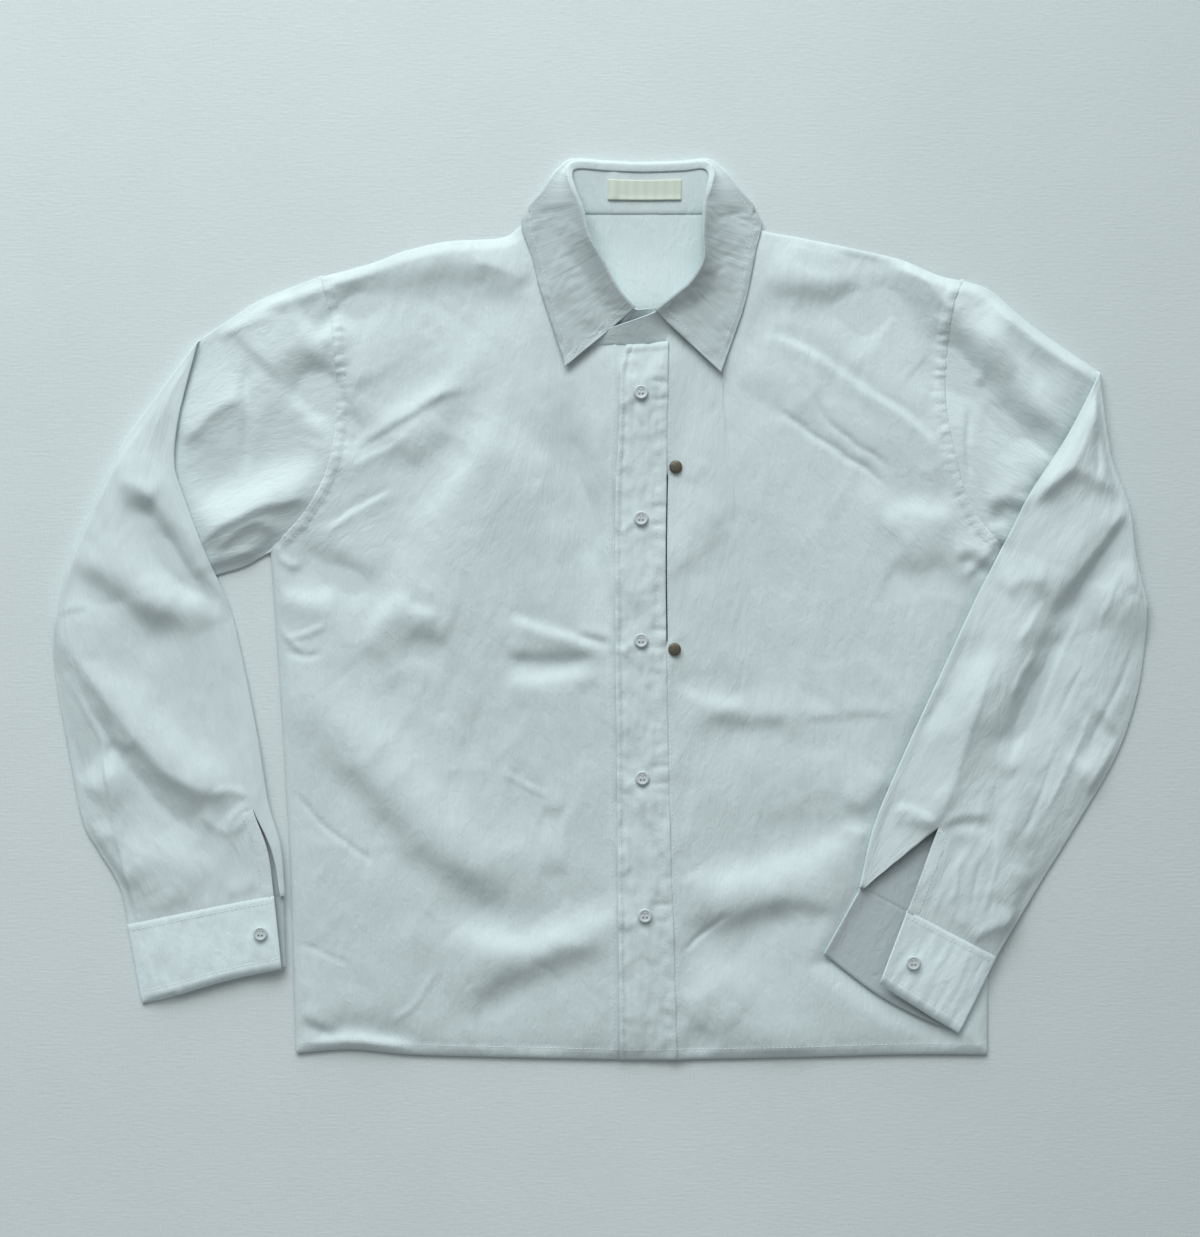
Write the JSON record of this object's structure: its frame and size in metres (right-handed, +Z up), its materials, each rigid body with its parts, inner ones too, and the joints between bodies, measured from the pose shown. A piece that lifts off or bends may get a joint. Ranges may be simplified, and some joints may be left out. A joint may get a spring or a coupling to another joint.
{
  "type": "cropped long-sleeved shirt, laid flat",
  "caption": "Crumpled cropped cotton shirt laid flat, front up, with open collar, buttoned placket and both sleeves folded over at the elbow.",
  "frame": {"origin": "middle of the laid shirt's box, on the surface it lies on", "axes": "+X towards the wearer's left sleeve, +Y towards the collar, +Z up from the surface"},
  "size_m": [0.8527, 0.7032, 0.0206],
  "materials": {
    "washed_cotton": "crinkled, garment-washed plain weave",
    "button_white": "turned, polished",
    "aged_bronze": "darkened, brushed high spots",
    "woven_label": "woven tape, bare"
  },
  "bodies": {
    "root": {"back": "washed_cotton", "front_right": "washed_cotton", "front_left": "washed_cotton", "placket": "washed_cotton", "collar_stand": "washed_cotton", "collar": "washed_cotton", "sleeve_right": "washed_cotton", "sleeve_left": "washed_cotton", "sleeve_placket_right": "washed_cotton", "sleeve_placket_left": "washed_cotton", "cuff_right": "washed_cotton", "cuff_left": "washed_cotton", "button_1": "button_white", "button_2": "button_white", "button_3": "button_white", "button_4": "button_white", "button_5": "button_white", "cuff_button_right": "button_white", "cuff_button_left": "button_white", "rivet_upper": "aged_bronze", "rivet_lower": "aged_bronze", "neck_label": "woven_label"}
  },
  "joints": []
}
